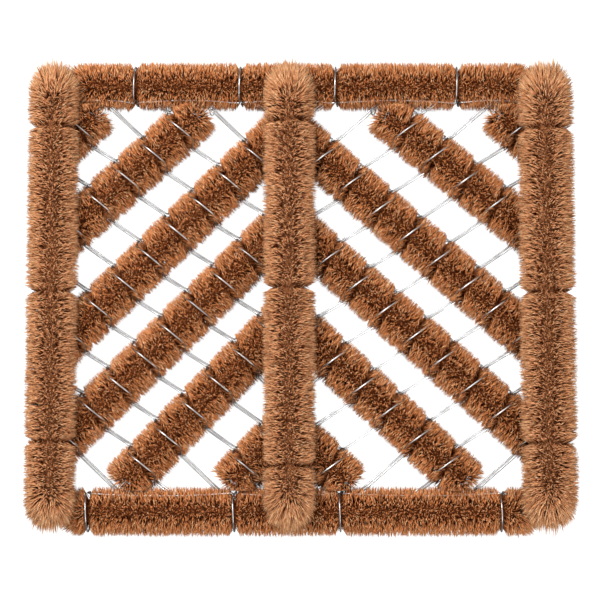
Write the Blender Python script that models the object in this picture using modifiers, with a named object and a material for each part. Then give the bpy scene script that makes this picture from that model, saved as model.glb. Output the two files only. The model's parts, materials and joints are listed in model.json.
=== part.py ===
"""An open door mat of coir brushes bound with wire.

Three upright brushes lie on top, at the left, centre and right. Under their ends two rail brushes close the
far and the near edge. Between the rails, two bays are filled with slanted strip brushes that climb from the
outer uprights towards the centre one. Wires in rows cross the strips, over and under them.

Lengths are in metres. X runs along the rails, Y along the uprights towards the far edge, and Z up from the
floor. A bay share of 0 is the outer upright's core line, and 1 is the centre upright's.
"""

import math

import bmesh
import bpy
import numpy as np

# Overall sizes
MAT_WIDTH = 0.463
MAT_DEPTH = 0.4055
UPRIGHT_SETBACK = 0.00725  # of the uprights' ends from the far and near edges
RAIL_SETBACK = 0.0195  # of the rails' ends from the side edges
UPRIGHT_DIAMETERS = {"left": 0.045, "centre": 0.046, "right": 0.049}
CENTRE_SHIFT = -0.0097  # the centre upright stands left of the middle

# Stock sizes
STRIP_DIAMETER = 0.031  # where the wires press the bristles in
CORE_DIAMETER = 0.0032
WIRE_DIAMETER = 0.0015

# Fits
FIT = 0.0003  # air between pieces that touch
FLOOR_GAP = 0.0011  # under the lowest wire
RAIL_PRESS = 0.0015  # how far the floor presses the rails' bristles flat
WIRE_CLEARANCE = 0.0006  # air on each side of a wire that runs in a cleft
STRIP_TUCK = 0.008  # how far a strip runs past the outer upright's core line
CENTRE_GAP = 0.003  # between the two bays' strips
CORE_SETBACK = 0.002  # of a strip's core from the strip's end

# The weave, as shares of the depth between the rails
STRIP_HEIGHTS = (0.393, 0.142, -0.1476, -0.408, -0.685, -0.966)  # at the outer upright
STRIP_RISES = (0.573, 0.573, 0.612, 0.619, 0.642, 0.63)  # to the centre upright
BAY_RISE = {"left": 1.0, "right": 0.976}  # of those rises, in each bay
ROW_COUNT = 11
ROWS_ACROSS = 7  # rows that reach the centre upright and go on into the other bay
ROW_START = 1.0874
ROW_PITCH = 0.1418
ROW_DROP = {"left": 0.6644, "right": 0.647}
ROW_PAIR_SPREAD = 0.0032  # between the over and the under run, along Y

# Bindings
TIE_SHARES = {
    "left": (0.362, 0.005, -0.316),
    "centre": (0.375, 0.014, -0.3675),
    "right": (0.358, 0.004, -0.320),
}
TIE_NECK_DIAMETER = 0.0084
WRAP_SHARES = {
    "far": (-0.304, -0.110, 0.066, 0.290),
    "near": (-0.3855, -0.1195, 0.0735, 0.366),
}
WRAP_PITCH = 0.004
WRAP_ANGLE = math.radians(35)  # of the binding's run, above level on the rail's inner side
WRAP_TAIL = 0.012
HOOK_BEND = 0.005

ROUND_STEPS = 16
TURN_STEPS = 8  # corners in a full turn of wire
ROUNDING = 0.007  # of the rails' ends

# Worked out from the above
upright_length = MAT_DEPTH - 2 * UPRIGHT_SETBACK
core_radius = CORE_DIAMETER / 2
bore_radius = core_radius + FIT
wire_radius = WIRE_DIAMETER / 2
bound_radius = STRIP_DIAMETER / 2
wire_cleft = WIRE_DIAMETER + 2 * WIRE_CLEARANCE  # between a strip's end and the rail too
wrap_cleft = WRAP_PITCH + wire_cleft
corner = math.cos(math.pi / TURN_STEPS)  # a wire's corners stand out so that its flats keep clear
wrap_radius = (bound_radius + FIT + wire_radius) / corner
core_height = wrap_radius + wire_radius + FLOOR_GAP
rail_radius = core_height + RAIL_PRESS
rail_y = MAT_DEPTH / 2 - rail_radius
rail_reach = MAT_WIDTH / 2 - RAIL_SETBACK
bay_reach = rail_y - rail_radius - wire_cleft
bay_depth = 2 * (rail_y - rail_radius)
row_reach = bay_reach + wire_cleft / 2
underside = core_height + wrap_radius + wire_radius + FIT
tie_radius = (TIE_NECK_DIAMETER / 2 + FIT + wire_radius) / corner
upright_height = underside + tie_radius + wire_radius + FIT
hook_end = core_height + core_radius
upright_x = {
    "left": -MAT_WIDTH / 2 + UPRIGHT_DIAMETERS["left"] / 2,
    "centre": CENTRE_SHIFT,
    "right": MAT_WIDTH / 2 - UPRIGHT_DIAMETERS["right"] / 2,
}
rail_side = {"far": 1, "near": -1}
bay_side = {"left": 1, "right": -1}  # the way along X from the outer upright to the centre one


# ---------------------------------------------------------------- scene helpers


def clear_scene():
    for old in list(bpy.data.objects):
        bpy.data.objects.remove(old, do_unlink=True)


def new_collection(name, hidden=False):
    collection = bpy.data.collections.new(name)
    collection.hide_render = hidden
    bpy.context.scene.collection.children.link(collection)
    return collection


def material(name, colour, roughness, metallic=0.0):
    made = bpy.data.materials.new(name)
    made.use_nodes = True
    shader = made.node_tree.nodes["Principled BSDF"]
    shader.inputs["Base Color"].default_value = (*colour, 1.0)
    shader.inputs["Roughness"].default_value = roughness
    shader.inputs["Metallic"].default_value = metallic
    return made


def as_cutter(obj):
    obj.hide_render = True
    obj.display_type = "WIRE"
    cutters.objects.link(obj)
    return obj


def as_piece(obj, finish):
    obj.data.materials.append(finish)
    pieces.objects.link(obj)
    return obj


# ---------------------------------------------------------------- shapes


def block(name, size, location):
    """A plain block about a middle point."""
    shape = bmesh.new()
    bmesh.ops.create_cube(shape, size=1.0)
    bmesh.ops.scale(shape, vec=size, verts=shape.verts)
    mesh = bpy.data.meshes.new(name)
    shape.to_mesh(mesh)
    shape.free()
    obj = bpy.data.objects.new(name, mesh)
    obj.location = location
    return obj


def rod_along_x(name, radius, length, location):
    """A plain cylinder, for cutting."""
    shape = bmesh.new()
    bmesh.ops.create_cone(
        shape, cap_ends=True, segments=ROUND_STEPS, radius1=radius, radius2=radius, depth=length
    )
    mesh = bpy.data.meshes.new(name)
    shape.to_mesh(mesh)
    shape.free()
    obj = bpy.data.objects.new(name, mesh)
    obj.location = location
    obj.rotation_euler = (0, math.pi / 2, 0)
    return obj


def turned(name, outline, looped):
    """A turned solid about its own Z: the outline is (radius, height) pairs, down the outer side."""
    mesh = bpy.data.meshes.new(name)
    edges = [(i, i + 1) for i in range(len(outline) - 1)]
    if looped:
        edges.append((len(outline) - 1, 0))
    mesh.from_pydata([(radius, 0, height) for radius, height in outline], edges, [])
    obj = bpy.data.objects.new(name, mesh)
    screw = obj.modifiers.new("turn", "SCREW")
    screw.angle = 2 * math.pi
    screw.steps = ROUND_STEPS
    screw.render_steps = ROUND_STEPS
    screw.use_merge_vertices = True
    screw.merge_threshold = 0.00001
    screw.use_smooth_shade = True
    return obj


def wire(name, points, radius, sides_level):
    """A wire or rod along straight runs from point to point, with filled ends."""
    curve = bpy.data.curves.new(name, "CURVE")
    curve.dimensions = "3D"
    curve.bevel_depth = radius
    curve.bevel_resolution = sides_level
    curve.use_fill_caps = True
    spline = curve.splines.new("POLY")
    spline.points.add(len(points) - 1)
    for target, point in zip(spline.points, points):
        target.co = (*point, 1.0)
    return bpy.data.objects.new(name, curve)


def wire_mesh(name, points, radius):
    """The same wire as a closed mesh, so that it can cut."""
    source = wire(name + "_path", points, radius, 2)
    bpy.context.scene.collection.objects.link(source)
    graph = bpy.context.evaluated_depsgraph_get()
    mesh = bpy.data.meshes.new_from_object(source.evaluated_get(graph))
    shape = bmesh.new()
    shape.from_mesh(mesh)
    bmesh.ops.remove_doubles(shape, verts=shape.verts, dist=0.00001)
    bmesh.ops.recalc_face_normals(shape, faces=shape.faces)
    shape.to_mesh(mesh)
    shape.free()
    obj = bpy.data.objects.new(name, mesh)
    obj.matrix_world = source.matrix_world
    bpy.data.objects.remove(source, do_unlink=True)
    return obj


def combine(obj, other, operation):
    boolean = obj.modifiers.new(other.name, "BOOLEAN")
    boolean.operation = operation
    boolean.solver = "EXACT"
    boolean.object = other


# ---------------------------------------------------------------- uprights


def hook_points(name):
    """The upright's core: straight along Y, then bent down at each end into the rail's bristles."""
    x = upright_x[name]
    leg = upright_length / 2 - UPRIGHT_DIAMETERS[name] / 2
    half = [(x, leg, hook_end)]
    for step in range(5):
        angle = step * math.pi / 8
        y = leg - HOOK_BEND * (1 - math.cos(angle))
        half.append((x, y, upright_height - HOOK_BEND * (1 - math.sin(angle))))
    return half + [(x, -y, z) for x, y, z in reversed(half)]


def upright_outline(name):
    """Domed ends and a narrow cleft down to the neck at each tie."""
    radius = UPRIGHT_DIAMETERS[name] / 2
    leg = upright_length / 2 - radius
    dome = [(radius * math.sin(a), leg + radius * math.cos(a)) for a in np.linspace(0, math.pi / 2, 6)]
    outline = list(dome)
    for share in TIE_SHARES[name]:
        top = share * upright_length + wire_cleft / 2
        bottom = top - wire_cleft
        neck = TIE_NECK_DIAMETER / 2
        outline += [(radius, top), (neck, top), (neck, bottom), (radius, bottom)]
    return outline + [(r, -y) for r, y in reversed(dome)]


def make_upright(name, floor_cut, rail_cuts):
    x = upright_x[name]
    bristles = turned(f"{name}_upright_bristles", upright_outline(name), looped=False)
    bristles.location = (x, 0, upright_height)
    bristles.rotation_euler = (-math.pi / 2, 0, 0)
    hook = as_cutter(wire_mesh(f"{name}_upright_bore", hook_points(name), bore_radius))
    for cut in (floor_cut, *rail_cuts, hook):
        combine(bristles, cut, "DIFFERENCE")
    as_piece(bristles, tan_coir)
    as_piece(wire(f"{name}_upright_core", hook_points(name), core_radius, 2), galvanised)
    return hook


def make_ties(name):
    """Open rings round the neck in each cleft, with the opening underneath."""
    for number, share in enumerate(TIE_SHARES[name], 1):
        turns = np.radians(np.arange(-60, 241, 360 / TURN_STEPS))
        ring = [
            (
                upright_x[name] + tie_radius * math.cos(turn),
                share * upright_length,
                upright_height + tie_radius * math.sin(turn),
            )
            for turn in turns
        ]
        as_piece(wire(f"{name}_upright_tie_{number}", ring, wire_radius, 1), galvanised)


# ---------------------------------------------------------------- rails


def rail_outline(name):
    """A tube with eased ends and a cleft at each wrap."""
    outline = [(rail_radius - ROUNDING, rail_reach), (rail_radius, rail_reach - ROUNDING)]
    for share in reversed(WRAP_SHARES[name]):
        top = share * MAT_WIDTH + wrap_cleft / 2
        bottom = top - wrap_cleft
        outline += [(rail_radius, top), (bound_radius, top), (bound_radius, bottom), (rail_radius, bottom)]
    outline += [(rail_radius, ROUNDING - rail_reach), (rail_radius - ROUNDING, -rail_reach)]
    return outline + [(bore_radius, -rail_reach), (bore_radius, rail_reach)]


def binding_points(name):
    """Runs along the rail's inner side, with one full turn round the rail at each wrap."""
    side = rail_side[name]

    def on_rail(x, turn):
        y = side * (rail_y - wrap_radius * math.cos(WRAP_ANGLE + turn))
        return (x, y, core_height + wrap_radius * math.sin(WRAP_ANGLE + turn))

    stations = [share * MAT_WIDTH for share in WRAP_SHARES[name]]
    points = [on_rail(stations[0] - WRAP_TAIL, 0)]
    for station in stations:
        for step in range(TURN_STEPS + 1):
            x = station + WRAP_PITCH * (step / TURN_STEPS - 0.5)
            points.append(on_rail(x, 2 * math.pi * step / TURN_STEPS))
    points.append(on_rail(stations[-1] + WRAP_TAIL, 0))
    return points


def binding_slot(name):
    """The slot in the rail's bristles that the binding's run lies in."""
    side = rail_side[name]
    start = WRAP_SHARES[name][0] * MAT_WIDTH - WRAP_TAIL - FIT
    end = WRAP_SHARES[name][-1] * MAT_WIDTH + WRAP_TAIL + FIT
    inner, outer = bound_radius * corner, rail_radius + FIT
    middle = (inner + outer) / 2
    place = (
        (start + end) / 2,
        side * (rail_y - middle * math.cos(WRAP_ANGLE)),
        core_height + middle * math.sin(WRAP_ANGLE),
    )
    slot = block(f"{name}_binding_slot", (end - start, outer - inner, WIRE_DIAMETER + 2 * FIT), place)
    slot.rotation_euler = (math.pi - WRAP_ANGLE if side > 0 else WRAP_ANGLE, 0, 0)
    return as_cutter(slot)


def make_rail(name, floor_cut, hooks):
    place = (0, rail_side[name] * rail_y, core_height)
    bristles = turned(f"{name}_rail_bristles", rail_outline(name), looped=True)
    bristles.location = place
    bristles.rotation_euler = (0, math.pi / 2, 0)
    for cut in (floor_cut, binding_slot(name), *hooks):
        combine(bristles, cut, "DIFFERENCE")
    as_piece(bristles, brown_coir)
    ends = [(-rail_reach, *place[1:]), (rail_reach, *place[1:])]
    as_piece(wire(f"{name}_rail_core", ends, core_radius, 2), galvanised)
    as_piece(wire(f"{name}_rail_binding", binding_points(name), wire_radius, 1), galvanised)


# ---------------------------------------------------------------- strips and rows


def bay_width(bay):
    return abs(upright_x["centre"] - upright_x[bay])


def bay_x(bay, share):
    return upright_x[bay] + bay_side[bay] * bay_width(bay) * share


def strip_rise(number, bay):
    return STRIP_RISES[number] * BAY_RISE[bay] * bay_depth


def strip_y(number, bay, share):
    return STRIP_HEIGHTS[number] * bay_depth + strip_rise(number, bay) * share


def row_y(row, bay, share, spread):
    return (ROW_START - ROW_PITCH * row - ROW_DROP[bay] * share) * bay_depth + spread


def strip_slope(number, bay):
    """The strip's angle from the rails."""
    return math.atan2(strip_rise(number, bay), bay_width(bay))


def bay_space(bay):
    """The space between the rails, and between the uprights, that the strips are trimmed to."""
    outer = bay_x(bay, 0) - bay_side[bay] * STRIP_TUCK
    inner = bay_x(bay, 1) - bay_side[bay] * CENTRE_GAP / 2
    size = (abs(inner - outer), 2 * bay_reach, 4 * core_height)
    return as_cutter(block(f"{bay}_bay_space", size, ((inner + outer) / 2, 0, core_height)))


def strip_ends(number, bay):
    """Where the strip's core line enters and leaves the bay, as bay shares."""
    rise = strip_rise(number, bay)
    outer = -STRIP_TUCK / bay_width(bay)
    inner = 1 - CENTRE_GAP / 2 / bay_width(bay)
    level = strip_y(number, bay, 0)
    return max(outer, (-bay_reach - level) / rise), min(inner, (bay_reach - level) / rise)


def make_strip(number, bay, space):
    start, end = strip_ends(number, bay)
    slope = strip_slope(number, bay)
    length = (end - start) * bay_width(bay) / math.cos(slope)
    middle = (start + end) / 2
    place = (bay_x(bay, middle), strip_y(number, bay, middle), core_height)
    overrun = length / 2 + 2 * STRIP_DIAMETER
    outline = [(bound_radius, overrun), (bound_radius, -overrun), (bore_radius, -overrun), (bore_radius, overrun)]
    name = f"{bay}_strip_{number + 1}"
    bristles = turned(f"{name}_bristles", outline, looped=True)
    bristles.location = place
    bristles.rotation_euler = (0, math.pi / 2, bay_side[bay] * slope)
    combine(bristles, space, "INTERSECT")
    as_piece(bristles, brown_coir)
    reach = length / 2 - CORE_SETBACK
    along = np.array([bay_side[bay] * math.cos(slope), math.sin(slope), 0])
    ends = [tuple(np.array(place) + way * reach * along) for way in (-1, 1)]
    as_piece(wire(f"{name}_core", ends, core_radius, 2), galvanised)


def row_limits(row, bay, spread):
    """Where a row starts and ends in a bay: in the air gap past the strips' ends, or at the centre."""
    drop = ROW_DROP[bay] * bay_depth
    level = row_y(row, bay, 0, spread)
    outer = -(STRIP_TUCK + wire_cleft / 2) / bay_width(bay)
    return max(outer, (level - row_reach) / drop), min(1.0, (level + row_reach) / drop)


def row_lifts(row, bay, spread):
    """Bay shares and lifts above the cores along a row: round each strip, and level halfway between strips."""
    strips = range(len(STRIP_HEIGHTS))
    closing = [strip_rise(number, bay) + ROW_DROP[bay] * bay_depth for number in strips]
    level = row_y(row, bay, 0, spread)
    crossings = [(level - strip_y(number, bay, 0)) / closing[number] for number in strips]
    halfway = [(a + b) / 2 for a, b in zip(crossings, crossings[1:])]
    halfway = [2 * crossings[0] - halfway[0], *halfway, 2 * crossings[-1] - halfway[-1]]
    turns = np.arange(1, TURN_STEPS // 2) * 2 * math.pi / TURN_STEPS
    shares, lifts = [halfway[0]], [0.0]
    for number, gap in zip(strips, halfway[1:]):
        reach = wrap_radius / math.cos(strip_slope(number, bay)) / closing[number]
        shares += [*(crossings[number] - reach * np.cos(turns)), gap]
        lifts += [*(wrap_radius * np.sin(turns)), 0.0]
    return np.array(shares), np.array(lifts)


def row_run(row, bay, side):
    """One run of a row wire from its outer end inwards: side 1 passes over the strips, and -1 under them."""
    spread = side * ROW_PAIR_SPREAD / 2
    shares, lifts = row_lifts(row, bay, spread)
    start, end = row_limits(row, bay, spread)
    least = FIT / bay_width(bay)
    inside = (shares > start + least) & (shares < end - least)
    along = np.array([start, *shares[inside], end])
    heights = np.interp(along, shares, lifts)
    if row < ROWS_ACROSS:
        heights[-1] = max(
            np.interp(1.0, *row_lifts(row, other, spread)) for other in bay_side
        )
    return [
        (bay_x(bay, share), row_y(row, bay, share, spread), core_height + side * height)
        for share, height in zip(along, heights)
    ]


def make_row_across(row):
    """A hairpin from the left bay's outer end to the right bay's and back, bent at the centre upright."""
    over = row_run(row, "left", 1) + row_run(row, "right", 1)[-2::-1]
    under = row_run(row, "right", -1) + row_run(row, "left", -1)[-2::-1]
    as_piece(wire(f"row_wire_{row + 1}", over + under, wire_radius, 1), galvanised)


def make_row_in_bay(row, bay):
    """A hairpin in one bay, folded at the outer upright."""
    points = row_run(row, bay, 1)[::-1] + row_run(row, bay, -1)
    as_piece(wire(f"{bay}_row_wire_{row + 1}", points, wire_radius, 1), galvanised)


# ---------------------------------------------------------------- the mat


def make_mat():
    below = block("below_the_floor", (2 * MAT_WIDTH, 2 * MAT_DEPTH, rail_radius), (0, 0, -rail_radius / 2))
    floor_cut = as_cutter(below)
    depth = 2 * upright_height
    low = block("below_the_uprights", (2 * MAT_WIDTH, 2 * MAT_DEPTH, depth), (0, 0, underside - depth / 2))
    upright_cut = as_cutter(low)
    rail_cuts = [
        as_cutter(
            rod_along_x(f"{name}_rail_seat", rail_radius + FIT, 2 * MAT_WIDTH, (0, side * rail_y, core_height))
        )
        for name, side in rail_side.items()
    ]
    hooks = [make_upright(name, upright_cut, rail_cuts) for name in upright_x]
    for name in upright_x:
        make_ties(name)
    for name in rail_side:
        make_rail(name, floor_cut, hooks)
    for bay in bay_side:
        space = bay_space(bay)
        for number in range(len(STRIP_HEIGHTS)):
            make_strip(number, bay, space)
    for row in range(ROW_COUNT):
        if row < ROWS_ACROSS:
            make_row_across(row)
        else:
            for bay in bay_side:
                make_row_in_bay(row, bay)


clear_scene()
pieces = new_collection("door_mat")
cutters = new_collection("cutters", hidden=True)
tan_coir = material("tan_coir", (0.52, 0.24, 0.09), 0.9)
brown_coir = material("brown_coir", (0.35, 0.12, 0.035), 0.9)
galvanised = material("galvanised_steel", (0.55, 0.55, 0.56), 0.35, 1.0)
make_mat()
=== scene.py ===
"""The looks of an open door mat: coir brushes bound with galvanised wire.

Each brush is a coat of separate tapering fibres round a dark heart and a twisted core. Wires in pairs run
across the strips, one over and one under, and bindings and ties hold the rails and the uprights.
Lengths are in metres. X runs along the rails, Y along the uprights towards the far edge, and Z up.
"""

import json
import math

import bpy
import numpy as np
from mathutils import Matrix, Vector

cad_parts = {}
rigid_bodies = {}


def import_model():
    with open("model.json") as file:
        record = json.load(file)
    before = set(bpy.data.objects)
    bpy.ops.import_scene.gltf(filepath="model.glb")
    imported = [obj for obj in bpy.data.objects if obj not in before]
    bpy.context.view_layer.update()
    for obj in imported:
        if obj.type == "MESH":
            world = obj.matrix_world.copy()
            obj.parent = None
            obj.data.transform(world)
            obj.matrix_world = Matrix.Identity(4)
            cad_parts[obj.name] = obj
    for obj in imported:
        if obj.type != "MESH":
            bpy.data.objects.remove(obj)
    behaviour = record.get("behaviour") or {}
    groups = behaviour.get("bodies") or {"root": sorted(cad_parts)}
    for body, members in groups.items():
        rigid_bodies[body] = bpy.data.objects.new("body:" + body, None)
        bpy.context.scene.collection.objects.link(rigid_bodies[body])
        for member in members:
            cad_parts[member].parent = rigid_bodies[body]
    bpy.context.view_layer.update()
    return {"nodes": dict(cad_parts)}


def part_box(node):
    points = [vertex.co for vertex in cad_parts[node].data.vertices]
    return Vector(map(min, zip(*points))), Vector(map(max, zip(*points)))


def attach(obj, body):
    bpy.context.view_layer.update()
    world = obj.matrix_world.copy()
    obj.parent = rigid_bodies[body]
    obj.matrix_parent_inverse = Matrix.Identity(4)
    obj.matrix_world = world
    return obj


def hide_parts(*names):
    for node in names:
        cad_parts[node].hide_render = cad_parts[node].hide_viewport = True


bl_info = {
    "name": "Coir door mat",
    "version": (1, 0, 0),
    "blender": (4, 5, 0),
    "location": "View3D > Sidebar > Door mat",
    "description": "Coir brushes, wires and finishes round the frame of an open door mat",
    "category": "Add Mesh",
}

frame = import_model()

SIDES = ("left", "centre", "right")
RAILS = {"far": 1.0, "near": -1.0}
BAYS = {"left": 1.0, "right": -1.0}
STRIPS = range(1, 7)
ROWS_ACROSS = range(1, 8)
ROWS_IN_BAY = range(8, 12)
UP = np.array([0.0, 0.0, 1.0])
GOLDEN_TURN = 0.6180339887
MM = 0.001

FLOOR_HALF = 4.0
LIGHTS = (("overhead", (-0.6, 0.7, 1.6), 0.8, 30), ("front", (0.7, -1.5, 1.4), 1.2, 15))  # place, side, watts
AIM = np.array([-0.8 * MM, -0.4 * MM, 0.0])

# How the coat gives way to a wire: width of the parting, how far it pushes the tips, and the share of their
# length that it takes.
TIE_PARTING = 3.0 * MM, 3.0 * MM, 0.17
WRAP_PARTING = 3.0 * MM, 3.2 * MM, 0.22
OVER_PARTING = 2.6 * MM, 3.0 * MM, 0.22
UNDER_PARTING = 2.4 * MM, 1.6 * MM, 0.07
ROOT_DRAW = 0.552  # of the way that a fibre's tip stands past 0.45 domes inside the core's end
UPRIGHT_DROOP = 12 * MM  # of the lowest fibres below the uprights' bristle bodies
RAIL_COAT_SHORT = 26 * MM  # of the rail core's ends, before the coat's dome
RAIL_CORE_SHORT = 3 * MM
CORE_END_SLACK = 4 * MM  # past a strip's end, where a row still counts as crossing it

WIRE_FLOOR = 1 * MM  # the lowest that a wire's middle may lie
SELVEDGE_INSET = 15 * MM  # of the rails' inner edges from their core lines
SELVEDGE_SHOULDER = math.radians(24)  # how far up the rail's inner side its binding runs
BINDING_PROUD = 1.2 * MM
BINDING_DIP = 2.2 * MM  # into the bristles, halfway between two wraps
WRAP_LEAD = 3.4 * MM  # along the rail in one wrap
FINE_RADIUS = 0.6 * MM  # of the wire of ties and knots
TIE_RADIUS = 5.2 * MM


# ------------------------------------------------------------------ settings


class CoirSettings(bpy.types.PropertyGroup):
    """How the brushes' fibres stand."""

    fibres_per_mm: bpy.props.FloatProperty(
        name="Fibres per millimetre", description="Fibres along each millimetre of a core",
        default=60.0, min=5.0, max=70.0,
    )
    fibre_width: bpy.props.FloatProperty(
        name="Fibre width", description="Width of a fibre at its thickest",
        default=0.00066, unit="LENGTH", precision=5,
    )
    strip_overhang: bpy.props.FloatProperty(
        name="Strip overhang", description="How far the strips' tips stand past their bound shape",
        default=0.0062, unit="LENGTH", precision=4,
    )
    tuft_pitch: bpy.props.FloatProperty(
        name="Tuft pitch", description="Distance between tufts of fibres",
        default=0.0034, unit="LENGTH", precision=4,
    )
    heart_share: bpy.props.FloatProperty(
        name="Heart", description="Radius of the packed fibre roots, as a share of the brush's", default=0.40,
        subtype="FACTOR", min=0.2, max=0.8,
    )
    seed: bpy.props.IntProperty(name="Seed", description="Starts the random numbers", default=11)


class WireSettings(bpy.types.PropertyGroup):
    """Sizes of the wires and of their bends."""

    row_diameter: bpy.props.FloatProperty(
        name="Row wire", description="Diameter of the row wires", default=0.0015, unit="LENGTH", precision=4
    )
    pair_gap: bpy.props.FloatProperty(
        name="Pair spacing", description="Between the middles of two wires side by side", default=0.0020,
        unit="LENGTH", precision=4,
    )
    knee: bpy.props.FloatProperty(
        name="Knee", description="How far a wire steps sideways at a strip's edge", default=0.0052,
        unit="LENGTH", precision=4,
    )
    hook: bpy.props.FloatProperty(
        name="Hook", description="How far the under wire reaches along a strip's edge", default=0.0095,
        unit="LENGTH", precision=4,
    )
    over_height: bpy.props.FloatProperty(
        name="Over height", description="Of the wire's middle above a strip's core", default=0.0184,
        unit="LENGTH", precision=4,
    )
    strand_diameter: bpy.props.FloatProperty(
        name="Core strand", description="Diameter of each strand of a twisted core", default=0.0016,
        unit="LENGTH", precision=4,
    )
    twist_pitch: bpy.props.FloatProperty(
        name="Twist", description="Length of one turn of a twisted core",
        default=0.011, unit="LENGTH", precision=4,
    )


def colour_property(name, description, colour):
    return bpy.props.FloatVectorProperty(
        name=name, description=description, subtype="COLOR", size=3, min=0.0, max=1.0, default=colour
    )


class FinishSettings(bpy.types.PropertyGroup):
    """Colours of the coir and of the wire."""

    # The root colours, darker than the tips, are painted shade deep inside the brushes.
    upright_root_shade: colour_property("Upright root", "Uprights near their cores", (0.36, 0.140, 0.055))
    upright_tip: colour_property("Upright tip", "Uprights at the tips", (0.74, 0.345, 0.158))
    lower_root_shade: colour_property("Lower root", "Rails and strips near their cores", (0.20, 0.056, 0.017))
    lower_tip: colour_property("Lower tip", "Rails and strips at the tips", (0.72, 0.275, 0.098))
    straw: colour_property("Straw", "The palest fibres", (0.84, 0.52, 0.28))
    umber: colour_property("Umber", "The darkest fibres", (0.15, 0.040, 0.012))
    zinc: colour_property("Zinc", "The wires' bright coat", (0.52, 0.52, 0.52))


class StageSettings(bpy.types.PropertyGroup):
    """Floor, light and camera."""

    floor_colour: colour_property("Floor", "The pale floor", (0.25, 0.25, 0.25))
    elevation: bpy.props.FloatProperty(
        name="Elevation", description="Camera angle above the floor",
        default=math.radians(84.2), subtype="ANGLE",
    )
    distance: bpy.props.FloatProperty(
        name="Distance", description="From the camera to the middle of the mat",
        default=1.918, unit="LENGTH",
    )
    lens: bpy.props.FloatProperty(name="Lens", description="Focal length in millimetres", default=134.0)


# ------------------------------------------------------------------ measured from the frame


def node_box(name):
    """The lowest and the highest corner of a node of the frame."""
    low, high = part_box(name)
    return np.array(low), np.array(high)


def node_points(name):
    """The vertices of a node of the frame."""
    mesh = frame["nodes"][name].data
    points = np.empty(len(mesh.vertices) * 3)
    mesh.vertices.foreach_get("co", points)
    return points.reshape(-1, 3)


def clusters(values, gap):
    """The middles of the groups that values fall in, where a wider gap starts a new group."""
    ordered = np.sort(values)
    return [group.mean() for group in np.split(ordered, np.flatnonzero(np.diff(ordered) > gap) + 1)]


def unit(vectors):
    return vectors / np.linalg.norm(vectors, axis=-1, keepdims=True)


class Weave:
    """Axes of the brushes and lines of the rows, as the frame holds them."""

    def __init__(self):
        self.upright_x = {side: np.mean(node_box(f"{side}_upright_core"), axis=0)[0] for side in SIDES}
        low, high = node_box("far_rail_core")
        self.core_radius = (high[2] - low[2]) / 2
        self.core_height = (low[2] + high[2]) / 2
        self.rail_y = (low[1] + high[1]) / 2
        self.rail_radius = self.rail_y - node_box("far_rail_bristles")[0][1]
        self.rail_reach = high[0]
        self.bound_radius = node_box("left_strip_3_bristles")[1][2] - self.core_height
        self.under_uprights = node_box("left_upright_bristles")[0][2]
        self.strips = {bay: [self.strip_ends(bay, number) for number in STRIPS] for bay in BAYS}
        third = {bay: self.strips[bay][2] for bay in BAYS}
        self.strip_way = {bay: unit(end - start) for bay, (start, end) in third.items()}
        self.row_slope = {bay: self.row_fit(bay, f"row_wire_{ROWS_ACROSS[-1]}") for bay in BAYS}

    def strip_ends(self, bay, number):
        """The two ends of a strip's core, the outer one first."""
        low, high = node_box(f"{bay}_strip_{number}_core")
        inset = self.core_radius * math.sqrt(0.5)
        outer, inner = (low[0], high[0]) if BAYS[bay] > 0 else (high[0], low[0])
        step = inset * BAYS[bay]
        start = np.array([outer + step, low[1] + inset, self.core_height])
        end = np.array([inner - step, high[1] - inset, self.core_height])
        return start, end

    def in_bay(self, bay, points):
        """Those of the points that lie between the bay's two uprights."""
        outer, inner = self.upright_x[bay], self.upright_x["centre"]
        low, high = min(outer, inner), max(outer, inner)
        return points[(points[:, 0] > low) & (points[:, 0] < high)]

    def row_fit(self, bay, node):
        """Slope of the straight line that fits a row best."""
        points = self.in_bay(bay, node_points(node))
        return np.polyfit(points[:, 0], points[:, 1], 1)[0]

    def row_nodes(self, bay):
        """The nodes of the rows that cross a bay."""
        across = [f"row_wire_{row}" for row in ROWS_ACROSS]
        return across + [f"{bay}_row_wire_{row}" for row in ROWS_IN_BAY]

    def row_start(self, bay, node):
        """Where a row's line meets the outer upright's core line."""
        points = self.in_bay(bay, node_points(node))
        level = (points[:, 1].max() + points[:, 1].min()) / 2
        middle = (points[:, 0].max() + points[:, 0].min()) / 2
        outer = self.upright_x[bay]
        return np.array([outer, level + self.row_slope[bay] * (outer - middle), self.core_height])

    def row_way(self, bay):
        """The way of a bay's rows, from the outer upright inwards."""
        side = BAYS[bay]
        return unit(np.array([side, side * self.row_slope[bay], 0.0]))

    def crossings(self, bay, node):
        """For each strip, how far along the row and the strip they cross, and whether the strip is there."""
        start, way = self.row_start(bay, node), self.row_way(bay)
        found = []
        for first, last in self.strips[bay]:
            lie = unit(last - first)
            plane = np.array([way[:2], -lie[:2]]).T
            along_row, along_strip = np.linalg.solve(plane, (first - start)[:2])
            present = -CORE_END_SLACK < along_strip < np.linalg.norm(last - first) + CORE_END_SLACK
            found.append((along_row, along_strip, present))
        return found


weave = Weave()


# ------------------------------------------------------------------ meshes


def fresh_mesh(name, points, triangles, uv, attributes):
    """A smooth mesh of triangles, with a value at each point for its map and its attributes."""
    mesh = bpy.data.meshes.new(name)
    mesh.vertices.add(len(points))
    mesh.vertices.foreach_set("co", points.astype(np.float32).ravel())
    mesh.loops.add(triangles.size)
    mesh.loops.foreach_set("vertex_index", triangles.astype(np.int32).ravel())
    mesh.polygons.add(len(triangles))
    mesh.polygons.foreach_set("loop_start", np.arange(0, triangles.size, 3, dtype=np.int32))
    mesh.update(calc_edges=True)
    for label, values in attributes.items():
        mesh.attributes.new(label, "FLOAT", "POINT").data.foreach_set("value", values.astype(np.float32))
    layer = mesh.uv_layers.new(name="OFBake", do_init=False)
    layer.uv.foreach_set("vector", uv[triangles.ravel()].astype(np.float32).ravel())
    mesh.shade_smooth()
    return mesh


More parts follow.
